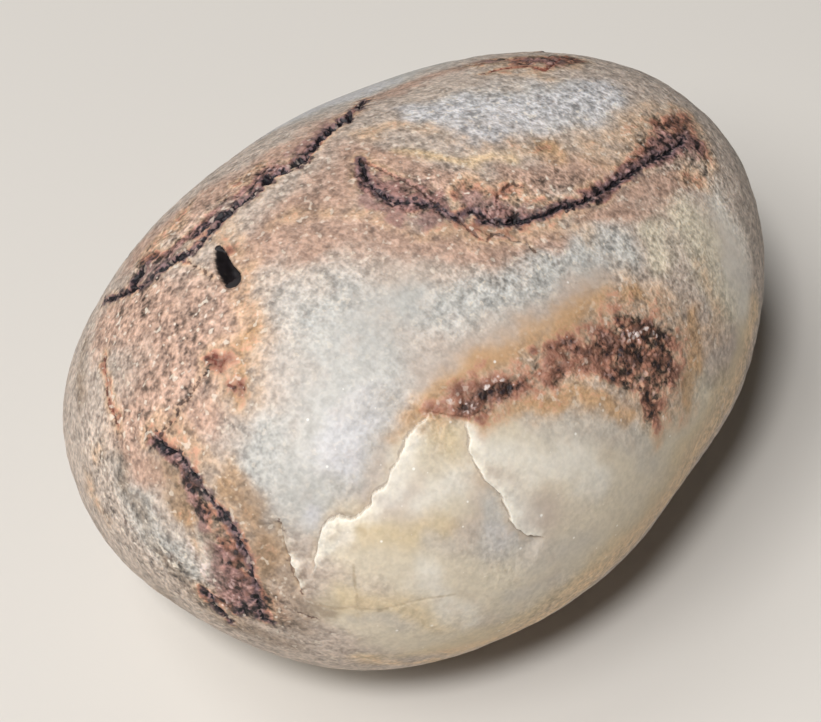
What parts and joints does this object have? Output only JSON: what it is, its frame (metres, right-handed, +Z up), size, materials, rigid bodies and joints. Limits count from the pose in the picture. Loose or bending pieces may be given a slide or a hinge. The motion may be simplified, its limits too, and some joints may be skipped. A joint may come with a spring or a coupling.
{
  "type": "rough jasper pebble",
  "caption": "Rough egg-shaped jasper pebble with one blunt and one narrow end, healed fissures, a small pit and thin broken layers, lying on its broad side.",
  "frame": {"origin": "on the ground, under the middle of the pebble's bounding box", "axes": "+X along the length, towards the narrow end; +Z up, the shortest way through"},
  "size_m": [0.0541, 0.0413, 0.0334],
  "materials": {
    "jasper": "water-worn, waxy where smooth and sugary where rough"
  },
  "bodies": {
    "root": {"pebble": "jasper"}
  },
  "joints": []
}
